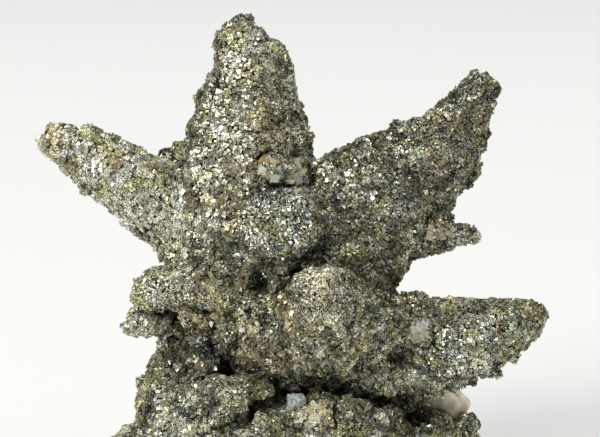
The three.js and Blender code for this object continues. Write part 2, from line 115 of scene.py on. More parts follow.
def ray_through(column, row):
    """The direction from the camera through a place in the picture."""
    across = (column - PICTURE_WIDTH / 2) * FIELD_WIDTH / PICTURE_WIDTH
    upward = (PICTURE_HEIGHT / 2 - row) * FIELD_WIDTH / PICTURE_WIDTH
    forward = Vector((0, math.cos(CAMERA_ELEVATION), -math.sin(CAMERA_ELEVATION)))
    up = Vector((0, math.sin(CAMERA_ELEVATION), math.cos(CAMERA_ELEVATION)))
    return (forward * CAMERA_DISTANCE + Vector((1, 0, 0)) * across + up * upward).normalized()


def seen_at(column, row, tree):
    """Where the ray through a place in the picture meets the object, or comes nearest to it."""
    eye = bpy.context.scene.camera.location
    way = ray_through(column, row)
    place, _, _, _ = tree.ray_cast(eye, way)
    if place is None:
        place, _, _, _ = tree.find_nearest(eye + way * CAMERA_DISTANCE)
    return place


# Meshes

def mesh_arrays(mesh):
    """Vertices, vertex normals and triangles of a mesh as arrays."""
    mesh.calc_loop_triangles()
    points = np.empty(len(mesh.vertices) * 3)
    mesh.vertices.foreach_get("co", points)
    normals = np.empty(len(mesh.vertices) * 3)
    mesh.vertices.foreach_get("normal", normals)
    triangles = np.empty(len(mesh.loop_triangles) * 3, np.int32)
    mesh.loop_triangles.foreach_get("vertices", triangles)
    return points.reshape(-1, 3), normals.reshape(-1, 3), triangles.reshape(-1, 3)


def search_tree(*meshes):
    """A tree for casting rays at these meshes together."""
    points, triangles = [], []
    for mesh in meshes:
        own_points, _, own_triangles = mesh_arrays(mesh)
        triangles += (own_triangles + len(points)).tolist()
        points += own_points.tolist()
    return BVHTree.FromPolygons(points, triangles)


def object_from(name, mesh, material):
    """A piece of the scene made of this mesh."""
    mesh.materials.append(material)
    piece = bpy.data.objects.new(name, mesh)
    bpy.context.scene.collection.objects.link(piece)
    return piece


def fine_mesh(node, voxel):
    """A CAD solid's mesh, made again with small even faces."""
    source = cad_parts[node].copy()
    source.data = source.data.copy()
    bpy.context.scene.collection.objects.link(source)
    remesh = source.modifiers.new("remesh", "REMESH")
    remesh.mode = "VOXEL"
    remesh.voxel_size = voxel
    graph = bpy.context.evaluated_depsgraph_get()
    mesh = bpy.data.meshes.new_from_object(source.evaluated_get(graph))
    bpy.data.objects.remove(source)
    mesh.materials.clear()
    return mesh


def noise_at(places, size, seed):
    """A smooth random number at each place, about -0.5 to 0.5."""
    shift = Vector((seed, 2 * seed, -seed))
    return np.array([noise.noise(Vector(place) / size + shift) for place in places])


def noise_vectors(places, size, seed):
    """A smooth random vector at each place."""
    shift = Vector((seed, -seed, 3 * seed))
    return np.array([noise.noise_vector(Vector(place) / size + shift) for place in places])


def calm_normals(mesh):
    """Vertex normals averaged over their surroundings."""
    _, normals, _ = mesh_arrays(mesh)
    edges = np.empty(len(mesh.edges) * 2, np.int32)
    mesh.edges.foreach_get("vertices", edges)
    one, other = edges.reshape(-1, 2).T
    for _ in range(CALM_ROUNDS):
        total = normals.copy()
        for axis in range(3):
            total[:, axis] += np.bincount(one, normals[other, axis], len(normals))
            total[:, axis] += np.bincount(other, normals[one, axis], len(normals))
        normals = total / np.linalg.norm(total, axis=1)[:, None]
    return normals


class Nodules:
    """Lumps of grains that grew together: each place on the surface belongs to its nearest one."""

    def __init__(self, mesh, spacing, random):
        spots = scatter(mesh, 6 / (spacing / MM) ** 2, random)
        places = at_spots(mesh_arrays(mesh)[0], spots)
        kept = apart(places, np.full(len(places), spacing), 0.9)
        self.spacing = spacing
        self.middles = places[kept]
        self.tree = KDTree(len(self.middles))
        for i, middle in enumerate(self.middles):
            self.tree.insert(middle, i)
        self.tree.balance()

    def at(self, places):
        """The nodule of each place, and how far the place is from the crease round it, from 0 to 1."""
        own = np.empty(len(places), int)
        inside = np.empty(len(places))
        for row, place in enumerate(places):
            (_, first, near), (_, _, far) = self.tree.find_n(place, 2)
            own[row] = first
            inside[row] = min(1, (far - near) / (0.6 * self.spacing))
        return own, inside


def shelter(places, facing, tree, random):
    """How far each place lies in a hollow, from 0 in the open to 1, which darkens its grain as painted shade.
    """
    hidden = np.zeros(len(places))
    for _ in range(SHELTER_RAYS):
        ways = facing + 0.95 * unit_vectors(len(places), random)
        ways /= np.linalg.norm(ways, axis=1)[:, None]
        starts = places + facing * 0.5 * MM
        hidden += [
            tree.ray_cast(Vector(start), Vector(way), SHELTER_REACH)[0] is not None
            for start, way in zip(starts, ways)
        ]
    return hidden / SHELTER_RAYS


def unit_vectors(count, random):
    """Random directions."""
    ways = random.normal(size=(count, 3))
    return ways / np.linalg.norm(ways, axis=1)[:, None]


def crystal_ways(zones):
    """The direction of each place's crystal, from root to tip."""
    ways = of_zone(zones, "tip")[:, :3] - of_zone(zones, "root")[:, :3]
    return ways / np.linalg.norm(ways, axis=1)[:, None]


def along_crystal(places, zones):
    """How far each place is from its crystal's root, in millimetres."""
    return ((places / MM - of_zone(zones, "root")[:, :3]) * crystal_ways(zones)).sum(1)


def relief_moves(points, normals, calm, tree):
    """How far the boulders and hollows of RELIEF move each point."""
    moves = np.zeros((len(points), 3))
    for column, row, radius, height in RELIEF:
        centre = np.array(seen_at(column, row, tree))
        distance = np.linalg.norm(points - centre, axis=1) / (radius * MM)
        if height > 0:
            moves += normals * (height * MM * np.sqrt(np.clip(1 - distance**2, 0, 1)))[:, None]
        else:
            moves += calm * (height * MM * np.exp(-2 * distance**2))[:, None]
    return moves


def base_surface(node, swollen, nodules, tree, material, seed):
    """A CAD solid as a fine mesh, with nodules, growth ledges, boulders and hollows."""
    mesh = fine_mesh(node, BASE_VOXEL)
    points, normals, _ = mesh_arrays(mesh)
    random = np.random.default_rng(seed)
    zones = nearest_zones(points)
    own, inside = nodules.at(points)
    dome = 1 - (1 - inside) ** 2
    height = random.uniform(0.3, 1.3, len(nodules.middles))[own]
    ledge = along_crystal(points, zones) / LEDGE_LENGTH + 1.2 * noise_at(points, LEDGE_WANDER, seed)
    steps = ledge - np.floor(ledge) - 0.5
    rise = of_zone(zones, "lumps") * (dome * height - 0.55)
    rise += of_zone(zones, "ledges") * steps
    rise += SWELL * noise_at(points, SWELL_LENGTH, seed + 3) + swollen
    rise += of_zone(zones, "rough") * (2 * np.abs(noise_at(points, CREASE_LENGTH, seed + 5)) - 0.4)
    rise -= GRAIN_ROOM * of_zone(zones, "sizes")[:, 1]
    moved = points + normals * (rise * MM)[:, None]
    moved += relief_moves(points, normals, calm_normals(mesh), tree)
    foot = points[:, 2] < FLAT_FOOT
    moved[foot] = points[foot]
    moved[:, 2] = np.maximum(moved[:, 2], 0)
    mesh.vertices.foreach_set("co", moved.ravel())
    mesh.update()
    mesh.shade_smooth()
    under = 0.55 + 0.9 * noise_at(points, MOTTLE_LENGTH, seed + 7)
    colours = of_zone(zones, "under") * under[:, None]
    paint(mesh, np.column_stack([np.clip(colours, 0, 1), np.full(len(points), 0.5)]))
    return object_from(f"{node}_base", mesh, material)


def paint(mesh, colours):
    """Stores one colour for each vertex. The fourth number is how metallic it is."""
    tint = mesh.color_attributes.new("tint", "FLOAT_COLOR", "POINT")
    tint.data.foreach_set("color", np.ascontiguousarray(colours, np.float32).ravel())


# Grains

def scatter(mesh, per_mm2, random):
    """Spots spread evenly over a mesh: the three vertices round each, and their weights."""
    points, _, triangles = mesh_arrays(mesh)
    a, b, c = (points[triangles[:, i]] for i in range(3))
    areas = np.linalg.norm(np.cross(b - a, c - a), axis=1) / 2
    count = int(areas.sum() / MM**2 * per_mm2)
    chosen = random.choice(len(triangles), count, p=areas / areas.sum())
    return triangles[chosen], random.dirichlet((1, 1, 1), count)


def at_spots(values, spots):
    """What the vertices' values come to at each spot."""
    corners, weights = spots
    return np.einsum("nkj,nk->nj", values[corners], weights)


def apart(places, sizes, packing):
    """Which places to keep, so that grains of these sizes don't crowd each other."""
    tree = KDTree(len(places))
    for i, place in enumerate(places):
        tree.insert(place, i)
    tree.balance()
    kept = np.zeros(len(places), bool)
    reach = packing * sizes.max()
    for i in np.argsort(-sizes, kind="stable"):
        near = tree.find_range(places[i], reach)
        room = all(
            not kept[j] or distance > packing * (sizes[i] + sizes[j]) / 2
            for _, j, distance in near
        )
        kept[i] = room
    return kept


def frames_along(facing, ways, twist, random):
    """A frame for each grain: its third axis is the way it faces and its first lies across its crystal."""
    across = np.cross(ways, facing) + twist[:, None] * random.normal(size=facing.shape)
    side = across - (across * facing).sum(1)[:, None] * facing
    side /= np.linalg.norm(side, axis=1)[:, None]
    return np.stack([side, np.cross(facing, side), facing], 2)


CUBE_CORNERS = np.array([[x, y, z] for z in (-1, 1) for y in (-1, 1) for x in (-1, 1)]) / 2
CUBE_FACES = np.array([[0, 2, 3, 1], [4, 5, 7, 6], [0, 1, 5, 4], [1, 3, 7, 5], [3, 2, 6, 7], [2, 0, 4, 6]])


def grain_points(places, frames, sizes, random):
    """Corners of one uneven block for each place."""
    count = len(places)
    sides = sizes[:, None] * random.uniform((0.75, 0.7, 0.7), (1.4, 1.15, 1.1), (count, 3))
    corners = CUBE_CORNERS[None] * sides[:, None]
    corners = corners + random.normal(scale=0.1, size=(count, 8, 3)) * sizes[:, None, None]
    turned = np.einsum("nij,nkj->nki", frames, corners)
    sunk = places + frames[:, :, 2] * (sizes * random.uniform(-0.2, 0.2, count))[:, None]
    moved = sunk[:, None] + turned
    moved[:, :, 2] = np.maximum(moved[:, :, 2], 0)
    return moved


def grain_object(name, corners, colours, material):
    """One mesh of many blocks, each with one colour."""
    count = len(corners)
    faces = (CUBE_FACES[None] + 8 * np.arange(count)[:, None, None]).reshape(-1, 4)
    mesh = bpy.data.meshes.new(name)
    mesh.vertices.add(8 * count)
    mesh.vertices.foreach_set("co", corners.ravel())
    mesh.loops.add(faces.size)
    mesh.loops.foreach_set("vertex_index", faces.ravel().astype(np.int32))
    mesh.polygons.add(len(faces))
    mesh.polygons.foreach_set("loop_start", np.arange(0, faces.size, 4, dtype=np.int32))
    mesh.update(calc_edges=True)
    mesh.shade_flat()
    paint(mesh, np.repeat(colours, 8, 0))
    return object_from(name, mesh, material)


# Colours of grains: red, green, blue and how metallic they are.
STEEL = (0.54, 0.54, 0.425, 0.85)
PALE_STEEL = (0.76, 0.755, 0.62, 0.8)
DARK_STEEL = (0.22, 0.225, 0.165, 0.85)
GREEN_STEEL = (0.40, 0.44, 0.39, 0.85)
BRASS = (0.56, 0.50, 0.31, 0.8)
GOLD = (0.74, 0.62, 0.34, 0.8)
RUST = (0.36, 0.25, 0.10, 0.3)
OLIVE = (0.34, 0.33, 0.15, 0.5)
BROWN = (0.32, 0.27, 0.16, 0.4)
BEIGE = (0.58, 0.52, 0.38, 0.2)
CREAM = (0.72, 0.66, 0.49, 0.1)
GREY = (0.42, 0.425, 0.345, 0.6)
# Painted shade, which PATCHES lays in hollows and under overhangs.
PAINTED_SHADE_BLACK = (0.05, 0.05, 0.035, 0.3)
SILVER = (0.93, 0.92, 0.86, 1.0)

# Shares of the colours that whole nodules and single grains have of their own.
NODULE_MIX = [
    (DARK_STEEL, 3), (BRASS, 2), (OLIVE, 1.5), (GREEN_STEEL, 1), (BROWN, 1), (PALE_STEEL, 1.5), (GREY, 1),
]
ORE_MIX = [
    (DARK_STEEL, 2), (OLIVE, 2), (BROWN, 1), (CREAM, 1.2), (PALE_STEEL, 2), (GREEN_STEEL, 2), (GREY, 2),
]
SINGLE_MIX = [(PALE_STEEL, 4), (DARK_STEEL, 2.5), (SILVER, 1.6), (BRASS, 1), (GOLD, 0.5), (CREAM, 0.6)]
SINGLE_SHARE = 0.22  # of the grains, these have a colour of their own

# The colours between grains.
BLACK_GAPS = (0.035, 0.032, 0.018)
GREY_GAPS = (0.16, 0.155, 0.12)

# How the crust is on each crystal. The root and tip are in millimetres, each with a radius. `sizes` are the
# smallest and largest grain, and `lumps`, `ledges` and `rough` the heights of nodules, growth ledges and
# sharp creases, all in millimetres. `lean` is how far neighbouring grains tip over together and `tilt` how
# far each tips by itself. `calm` is how much the grains face the way of their crystal's side and `twist` how
# little they lie across it. `stain` is the share of olive and brown and `bands` the strength of growth bands.
# `tone_and_painted_light` makes all grains of a crystal lighter or darker: partly their own tone and partly
# painted light, the lit crystals made lighter and the shaded right one darker. `own` is how much of each
# nodule's own colour shows, and `under` is the colour between the grains.
CRYSTAL = dict(
    sizes=(0.30, 0.60), lumps=0.25, ledges=0.4, rough=0.2, lean=0.25, tilt=0.12, calm=0.8, twist=0.25,
    stain=0.25, bands=0.5, tone_and_painted_light=1.2, own=0.25, colour=STEEL, mix=NODULE_MIX, under=BLACK_GAPS,
)
LUMP = dict(
    sizes=(0.24, 0.46), lumps=0.5, ledges=0.1, rough=0.6, lean=0.35, tilt=0.2, calm=0.4, twist=1.0,
    stain=0.4, bands=0.1, tone_and_painted_light=1.05, own=0.4, colour=STEEL, mix=NODULE_MIX, under=BLACK_GAPS,
)
ZONES = {
    "top": CRYSTAL | dict(
        root=(-5.5, 1, 32.3, 9.8), tip=(-5.4, 2, 60.8, 1.9), sizes=(0.35, 0.8), ledges=0.45,
    ),
    "left": CRYSTAL | dict(
        root=(-7.1, 2.2, 31.4, 6.7), tip=(-30.5, 0.5, 47, 1.7), sizes=(0.45, 1.05), colour=PALE_STEEL,
        tilt=0.06, lean=0.15, calm=0.9, under=GREY_GAPS, stain=0.2, bands=0.2, tone_and_painted_light=1.75,
    ),
    "right": CRYSTAL | dict(
        root=(4.7, 0.5, 34.5, 9.5), tip=(23.8, 1.7, 54.4, 1.6), lumps=0.3, colour=GREY, stain=0.35,
        tilt=0.2, tone_and_painted_light=0.9,
    ),
    "small_right": CRYSTAL | dict(root=(14, -1.5, 34.3, 2.9), tip=(22.8, -2, 35.3, 0.8), colour=GREY),
    "lower_right": CRYSTAL | dict(
        root=(8.5, 0, 19.4, 7.2), tip=(31.3, -4.2, 25.4, 1.3), lumps=0.1, ledges=0.3, stain=0.35,
        bands=0.9, tone_and_painted_light=1.25,
    ),
    "middle_left": LUMP | dict(
        root=(-6.6, -1.5, 29.8, 5.6), tip=(-19.7, -5.1, 27.9, 2.6), colour=PALE_STEEL, stain=0.25, tone_and_painted_light=2.2,
    ),
    "outward": LUMP | dict(
        root=(5.1, 0, 22, 9.6), tip=(2.8, -16, 31.4, 2), colour=PALE_STEEL, stain=0.45, tone_and_painted_light=1.4,
    ),
    "plateau": CRYSTAL | dict(
        root=(-1.1, 0, 35.4, 8.4), tip=(-1.5, -7.8, 37.6, 5.4), colour=GREEN_STEEL, sizes=(0.28, 0.5),
        stain=0.1,
    ),
    "stub": LUMP | dict(root=(-8.6, 5, 36.3, 4.6), tip=(-15.2, 7.6, 44.4, 1.3)),
    "back": CRYSTAL | dict(root=(2.9, 3, 29, 9), tip=(5.6, 15.8, 35, 2.6)),
    "body": LUMP | dict(root=(-1, 0, 22, 11), tip=(-1, 0, 30, 10)),
    "ore": LUMP | dict(
        root=(-1, 0, 0, 22), tip=(-1, 0, 15, 17), sizes=(0.26, 0.8), lumps=0.8, rough=0.8, colour=GREY,
        mix=ORE_MIX, stain=0.2, tone_and_painted_light=1.65, own=0.65,
    ),
}

# Boulders and hollows, as column and row in the picture, radius and height in millimetres.
RELIEF = [
    (199, 345, 2.2, 1.5),
    (201, 364, 1.6, 0.8),
    (240, 370, 1.3, 1.0),
    (290, 380, 1.5, 1.0),
    (264, 378, 1.2, 1.0),
    (152, 302, 2.3, 0.8),
    (140, 326, 2.3, 1.0),
    (160, 384, 1.5, 0.9),
    (175, 418, 2.0, 0.7),
    (215, 392, 2.0, 0.7),
    (235, 412, 1.6, 0.8),
    (268, 395, 1.4, 0.8),
    (318, 418, 1.6, 0.8),
    (172, 320, 1.2, -2.6),
    (190, 326, 1.1, -2.2),
    (219, 354, 1.5, -3.0),
    (236, 350, 1.3, -2.6),
    (402, 358, 2.2, -2.0),
    (258, 283, 1.4, -1.4),
    (196, 418, 1.2, -1.6),
    (207, 411, 0.9, -1.6),
    (148, 405, 0.8, -1.2),
    (350, 395, 1.3, -1.2),
    (521, 357, 1.5, -1.8),
    (500, 371, 0.9, -0.9),
    (466, 225, 1.2, -0.5),
    (131, 276, 2.0, -0.4),
    (138, 334, 2.2, -0.5),
    (412, 292, 1.6, 0.7),
]

# Stains, painted shade and painted light, as column and row in the picture, radius in millimetres, colour and
# share.
# The black patches are painted shade in hollows and under overhangs; CREAM ones of share 0.8 and more are
# painted highlights.
# The front cone's other CREAM patches and the PALE_STEEL ones are partly own colour, partly painted light;
# the rest are stains.
PATCHES = [
    (105, 143, 1.5, OLIVE, 0.5),
    (107, 158, 1.2, GOLD, 0.6),
    (177, 145, 2.0, OLIVE, 0.8),
    (232, 45, 1.4, OLIVE, 0.5),
    (262, 62, 1.6, OLIVE, 0.4),
    (278, 138, 2.2, BRASS, 0.6),
    (270, 130, 1.5, RUST, 0.4),
    (238, 208, 2.0, OLIVE, 0.7),
    (232, 225, 1.6, BROWN, 0.6),
    (218, 262, 1.4, OLIVE, 0.8),
    (225, 190, 2.2, BEIGE, 0.5),
    (265, 285, 2.2, PAINTED_SHADE_BLACK, 0.6),
    (245, 275, 1.8, BROWN, 0.6),
    (340, 150, 1.8, BEIGE, 0.6),
    (385, 155, 1.4, BROWN, 0.5),
    (425, 120, 1.8, BROWN, 0.5),
    (330, 272, 3.0, CREAM, 0.55),
    (315, 300, 2.0, CREAM, 0.5),
    (330, 320, 2.4, CREAM, 0.35),
    (286, 300, 1.0, GOLD, 0.6),
    (290, 320, 1.0, GOLD, 0.6),
    (296, 340, 0.9, BRASS, 0.6),
    (333, 298, 0.8, CREAM, 0.9),
    (320, 318, 0.8, CREAM, 0.8),
    (268, 360, 0.7, CREAM, 0.9),
    (404, 318, 1.3, CREAM, 0.6),
    (345, 258, 2.4, OLIVE, 0.5),
    (395, 262, 2.4, OLIVE, 0.6),
    (410, 300, 2.2, BRASS, 0.6),
    (435, 312, 2.0, BEIGE, 0.6),
    (345, 352, 2.4, DARK_STEEL, 0.5),
    (258, 352, 2.2, BROWN, 0.7),
    (270, 366, 2.0, BROWN, 0.6),
    (453, 346, 2.2, GREEN_STEEL, 0.8),
    (488, 336, 1.4, GREEN_STEEL, 0.9),
    (514, 324, 1.2, GREEN_STEEL, 0.8),
    (530, 325, 1.0, GREEN_STEEL, 0.7),
    (472, 322, 0.6, BROWN, 0.9),
    (473, 334, 0.6, GOLD, 0.9),
    (474, 346, 0.6, RUST, 0.9),
    (476, 358, 0.6, RUST, 0.8),
    (477, 370, 0.6, BROWN, 0.8),
    (500, 326, 0.7, GOLD, 0.9),
    (503, 336, 0.7, BRASS, 0.8),
    (506, 306, 1.3, BROWN, 0.7),
    (524, 318, 0.5, RUST, 0.8),
    (541, 312, 0.8, GOLD, 0.8),
    (534, 306, 0.8, OLIVE, 0.6),
    (200, 344, 1.8, GREEN_STEEL, 0.7),
    (152, 370, 1.6, OLIVE, 0.8),
    (160, 350, 1.2, CREAM, 0.6),
    (196, 322, 1.8, BRASS, 0.7),
    (240, 371, 1.0, BROWN, 0.8),
    (172, 320, 1.2, BROWN, 0.7),
    (226, 351, 2.4, PAINTED_SHADE_BLACK, 0.9),
    (402, 358, 2.6, PAINTED_SHADE_BLACK, 0.8),
    (275, 345, 1.8, PAINTED_SHADE_BLACK, 0.4),
    (262, 338, 2.6, BROWN, 0.5),
    (302, 348, 2.4, PAINTED_SHADE_BLACK, 0.3),
    (318, 362, 2.2, BROWN, 0.5),
    (430, 415, 2.2, PAINTED_SHADE_BLACK, 0.5),
    (402, 400, 2.4, PAINTED_SHADE_BLACK, 0.6),
    (180, 395, 3.0, PALE_STEEL, 0.5),
    (236, 398, 2.0, CREAM, 0.3),
    (288, 358, 1.8, BROWN, 0.7),
    (300, 372, 2.0, PAINTED_SHADE_BLACK, 0.5),
    (330, 378, 2.0, PAINTED_SHADE_BLACK, 0.4),
    (365, 378, 1.8, PAINTED_SHADE_BLACK, 0.6),
    (310, 275, 1.8, BEIGE, 0.7),
    (300, 300, 1.2, BRASS, 0.8),
    (188, 368, 1.5, PAINTED_SHADE_BLACK, 0.5),
    (148, 408, 1.8, PAINTED_SHADE_BLACK, 0.5),
    (222, 412, 1.4, PAINTED_SHADE_BLACK, 0.5),
    (270, 413, 1.2, PAINTED_SHADE_BLACK, 0.5),
    (345, 420, 1.8, PAINTED_SHADE_BLACK, 0.5),
    (390, 415, 2.6, PAINTED_SHADE_BLACK, 0.6),
    (196, 416, 1.4, PAINTED_SHADE_BLACK, 0.6),
    (208, 397, 3.5, PALE_STEEL, 0.5),
    (285, 120, 3.5, BRASS, 0.35),
    (292, 95, 2.5, PALE_STEEL, 0.5),
    (145, 327, 2.2, PALE_STEEL, 0.6),
    (256, 395, 1.4, OLIVE, 0.7),
    (240, 425, 2.2, CREAM, 0.6),
    (315, 412, 1.6, CREAM, 0.6),
]

# Patches whose grains all tip one way and mirror the key light, and whose colour is made silvery as a painted
# highlight: column, row and radius in millimetres.
MIRRORS = [
    (254, 46, 1.3),
    (232, 60, 1.1),
    (215, 130, 1.2),
    (196, 160, 1.2),
    (95, 172, 1.4),
    (115, 180, 1.1),
    (128, 222, 1.0),
    (215, 222, 0.9),
    (250, 238, 0.9),
    (262, 240, 0.8),
    (372, 198, 0.7),
    (388, 206, 0.6),
    (400, 208, 0.9),
    (205, 303, 1.0),
    (333, 298, 0.5),
    (398, 212, 0.7),
    (440, 374, 0.5),
    (450, 374, 0.5),
    (460, 372, 0.5),
    (372, 264, 0.35),
    (381, 263, 0.35),
    (390, 261, 0.35),
    (399, 258, 0.35),
    (407, 254, 0.35),
    (268, 360, 0.5),
    (480, 322, 0.4),
    (527, 306, 0.4),
]


def nearest_zones(places):
    """The name of the crystal that each place belongs to."""
    names = list(ZONES)
    reach = []
    for zone in ZONES.values():
        root, tip = np.array(zone["root"]), np.array(zone["tip"])
        axis = tip[:3] - root[:3]
        along = np.clip((places / MM - root[:3]) @ axis / (axis @ axis), 0, 1)[:, None]
        near = root + along * (tip - root)
        reach.append(np.linalg.norm(places / MM - near[:, :3], axis=1) / near[:, 3])
    return np.array(names)[np.argmin(reach, axis=0)]


def of_zone(zones, key):
    """The value that each place's crystal has for that key."""
    names, rows = np.unique(zones, return_inverse=True)
    return np.array([ZONES[name][key] for name in names], float)[rows]


def mixed(mix, count, random):
    """Random colours from a mix."""
    colours = np.array([colour for colour, _ in mix])
    shares = np.array([share for _, share in mix])
    return colours[random.choice(len(mix), count, p=shares / shares.sum())]


def blended(colours, shade, share):
    """The colours with that share of another shade in them."""
    return colours + (np.array(shade) - colours) * np.asarray(share).reshape(-1, 1)


def distance_to(column, row, places, tree):
    """How far each place is from what the camera sees there."""
    return np.linalg.norm(places - np.array(seen_at(column, row, tree)), axis=1)


def grain_colours(places, zones, nodules, tree, random):
    """A colour for each grain: its crystal's, stained, banded, and partly its nodule's or its own, with
    painted shade and painted light from the patches and each crystal's lightness.
    """
    count = len(places)
    colours = of_zone(zones, "colour")
    own, _ = nodules.at(places)
    for name, zone in ZONES.items():
        chosen = zones == name
        shades = mixed(zone["mix"], len(nodules.middles), random)[own[chosen]]
        colours[chosen] = blended(colours[chosen], shades, np.full(len(shades), zone["own"]))
    drift = 1.6 * noise_at(places, 2.4 * MM, 31) + 0.8 * noise_at(places, 0.9 * MM, 32)
    stain = np.clip(of_zone(zones, "stain") + drift, 0, 0.85)
    hue = np.clip(0.5 + 2 * noise_at(places, 3 * MM, 33), 0, 1)
    colours = blended(colours, blended(np.tile(OLIVE, (count, 1)), BROWN, hue), stain)
    along = along_crystal(places, zones) / BAND_LENGTH + noise_at(places, 5 * MM, 34)
    rings = np.array([noise.noise(Vector((way, 7.3, 1.9))) for way in along])
    colours[:, :3] *= (1 + of_zone(zones, "bands") * rings)[:, None]
    single = random.random(count) < SINGLE_SHARE
    shades = mixed(SINGLE_MIX, single.sum(), random)
    colours[single] = blended(colours[single], shades, np.full(len(shades), 0.8))
    # The patches: stains, with painted shade and painted light where the list above says so.
    for column, row, radius, colour, share in PATCHES:
        near = np.exp(-((distance_to(column, row, places, tree) / (radius * MM)) ** 2))
        colours = blended(colours, colour, share * near * random.uniform(0.6, 1.2, count))
    patchy = 1 + 0.9 * noise_at(places, 2.2 * MM, 35) + 0.5 * noise_at(places, 0.8 * MM, 36)
    # Each crystal's own tone, with painted light: the lit crystals are made lighter and the shaded right one
    # darker.
    tone_and_painted_light = of_zone(zones, "tone_and_painted_light") * patchy
    colours[:, :3] *= random.uniform(0.6, 1.4, (count, 1)) * tone_and_painted_light[:, None]
    brightest = colours[:, :3].max(1)[:, None]
    colours[:, :3] *= LIGHTEST / np.maximum(brightest, LIGHTEST)
    return np.clip(colours, 0, 0.95)


def mirroring(places, tree):
    """How much each place belongs to one of the shining patches."""
    near = [distance_to(column, row, places, tree) / (radius * MM) for column, row, radius in MIRRORS]
    return np.exp(-(np.min(near, axis=0) ** 2))


def crust(name, base, big_neighbours, nodules, bases, material, seed):
    """The grains on a base surface, except where another lump covers it."""
    random = np.random.default_rng(seed)
    spots = scatter(base.data, CANDIDATES_PER_MM2, random)
    points, normals, _ = mesh_arrays(base.data)
    places, facing = at_spots(points, spots), at_spots(normals, spots)
    calm = at_spots(calm_normals(base.data), spots)
    open_air = places[:, 2] > CLEAR_OF_FLOOR
    if big_neighbours:
        open_air &= np.array([
            big_neighbours.ray_cast(Vector(place), Vector(normal), CLEAR_OF_NEIGHBOUR)[0] is None
            for place, normal in zip(places, facing)
        ])
    places, facing, calm = places[open_air], facing[open_air], calm[open_air]
    zones = nearest_zones(places)
    smallest, largest = of_zone(zones, "sizes").T
    coarse = np.clip(0.55 + 1.1 * noise_at(places, COARSE_LENGTH, seed), 0, 1)
    sizes = (smallest + (largest - smallest) * coarse * random.random(len(places)) ** 1.5) * MM
    kept = apart(places, sizes, PACKING)
    places, facing, calm = places[kept], facing[kept], calm[kept]
    sizes, zones = sizes[kept], zones[kept]
    calmness = of_zone(zones, "calm")[:, None]
    lean = of_zone(zones, "lean")[:, None] * noise_vectors(places, LEAN_LENGTH, seed)
    tilt = of_zone(zones, "tilt")[:, None] * random.normal(size=places.shape)
    mirror = MIRROR_TURN * mirroring(places, bases)[:, None]
    facing = calm * calmness + facing * (1 - calmness) + lean + tilt
    facing = facing * (1 - mirror) + MIRROR_WAY * mirror + 0.06 * random.normal(size=places.shape)
    facing /= np.linalg.norm(facing, axis=1)[:, None]
    frames = frames_along(facing, crystal_ways(zones), of_zone(zones, "twist"), random)
    colours = grain_colours(places, zones, nodules, bases, random)
    # Painted highlight: the grains of the shining patches are made silvery.
    colours = blended(colours, SILVER, MIRROR_PAINTED_HIGHLIGHT * mirror.ravel())
    # Painted shade: the deeper in a hollow a grain lies, the darker its colour is made.
    hidden = shelter(places, calm, bases, random)
    colours[:, :3] *= (1 - HOLLOW_PAINTED_SHADE * hidden**1.3)[:, None]
    corners = grain_points(places, frames, sizes, random)
    pieces = []
    for number, start in enumerate(range(0, len(places), GRAINS_PER_PIECE)):
        chosen = slice(start, start + GRAINS_PER_PIECE)
        pieces.append(grain_object(f"{name}_{number}", corners[chosen], colours[chosen], material))
    return pieces


# Stones and crystals that stand out of the crust

STONE_FACES = 11
STONE_RADIUS = 0.42  # before it is stretched to its width, height and depth
STONE_FACE_REACH = 0.84  # nearer to 1, the flat faces are smaller
CRYSTAL_JITTER = 0.13
WORN_EDGE = 0.11


def crystal_mesh(round_one, width, height, depth, random):
    """A block with worn edges, or a many-sided stone, as a bmesh about the origin."""
    shape = bmesh.new()
    if round_one:
        bmesh.ops.create_icosphere(shape, subdivisions=3, radius=1)
        ways = unit_vectors(STONE_FACES, random)
        seed = Vector(random.uniform(0, 50, 3))
        for vertex in shape.verts:
            reach = STONE_RADIUS / max(STONE_FACE_REACH, *(ways @ np.array(vertex.co)))
            pits = 0.1 * noise.noise(3 * vertex.co + seed) + 0.05 * noise.noise(9 * vertex.co + seed)
            vertex.co *= reach * (1 + pits)
    else:
        bmesh.ops.create_cube(shape, size=1)
        for vertex in shape.verts:
            vertex.co += Vector(random.normal(scale=CRYSTAL_JITTER, size=3))
        bmesh.ops.bevel(
            shape, geom=shape.edges[:], offset=WORN_EDGE, segments=2, affect="EDGES", profile=0.6,
        )
    for vertex in shape.verts:
        vertex.co = Vector((vertex.co.x * width, vertex.co.y * depth, vertex.co.z * height)) * MM
    return shape


def standing_crystals(name, rows, tree, material, seed, round_ones=False, sink=0.4):
    """One mesh of crystals, each sunk a part of its half depth into what the camera sees at its place."""
    random = np.random.default_rng(seed)
    points, faces, colours = [], [], []
    for column, row, width, height, depth, turn, colour in rows:
        place = seen_at(column, row, tree)
        shape = crystal_mesh(round_ones, width, height, depth, random)
        tips = random.normal(scale=0.15, size=3)
        rotation = Euler((tips[0], math.radians(turn), tips[2])).to_matrix()
        middle = place + ray_through(column, row) * sink * depth * MM * 0.5
        shape.verts.index_update()
        start = len(points)
        points += [rotation @ vertex.co + middle for vertex in shape.verts]
        faces += [[start + corner.index for corner in face.verts] for face in shape.faces]
        lighter = random.uniform(0.85, 1.15)
        colours += [(*(lighter * part for part in colour[:3]), colour[3])] * len(shape.verts)
        shape.free()
    mesh = bpy.data.meshes.new(name)
    mesh.from_pydata(points, [], faces)
    paint(mesh, np.clip(np.array(colours), 0, 1))
    if round_ones:
        mesh.shade_smooth()
    return object_from(name, mesh, material)


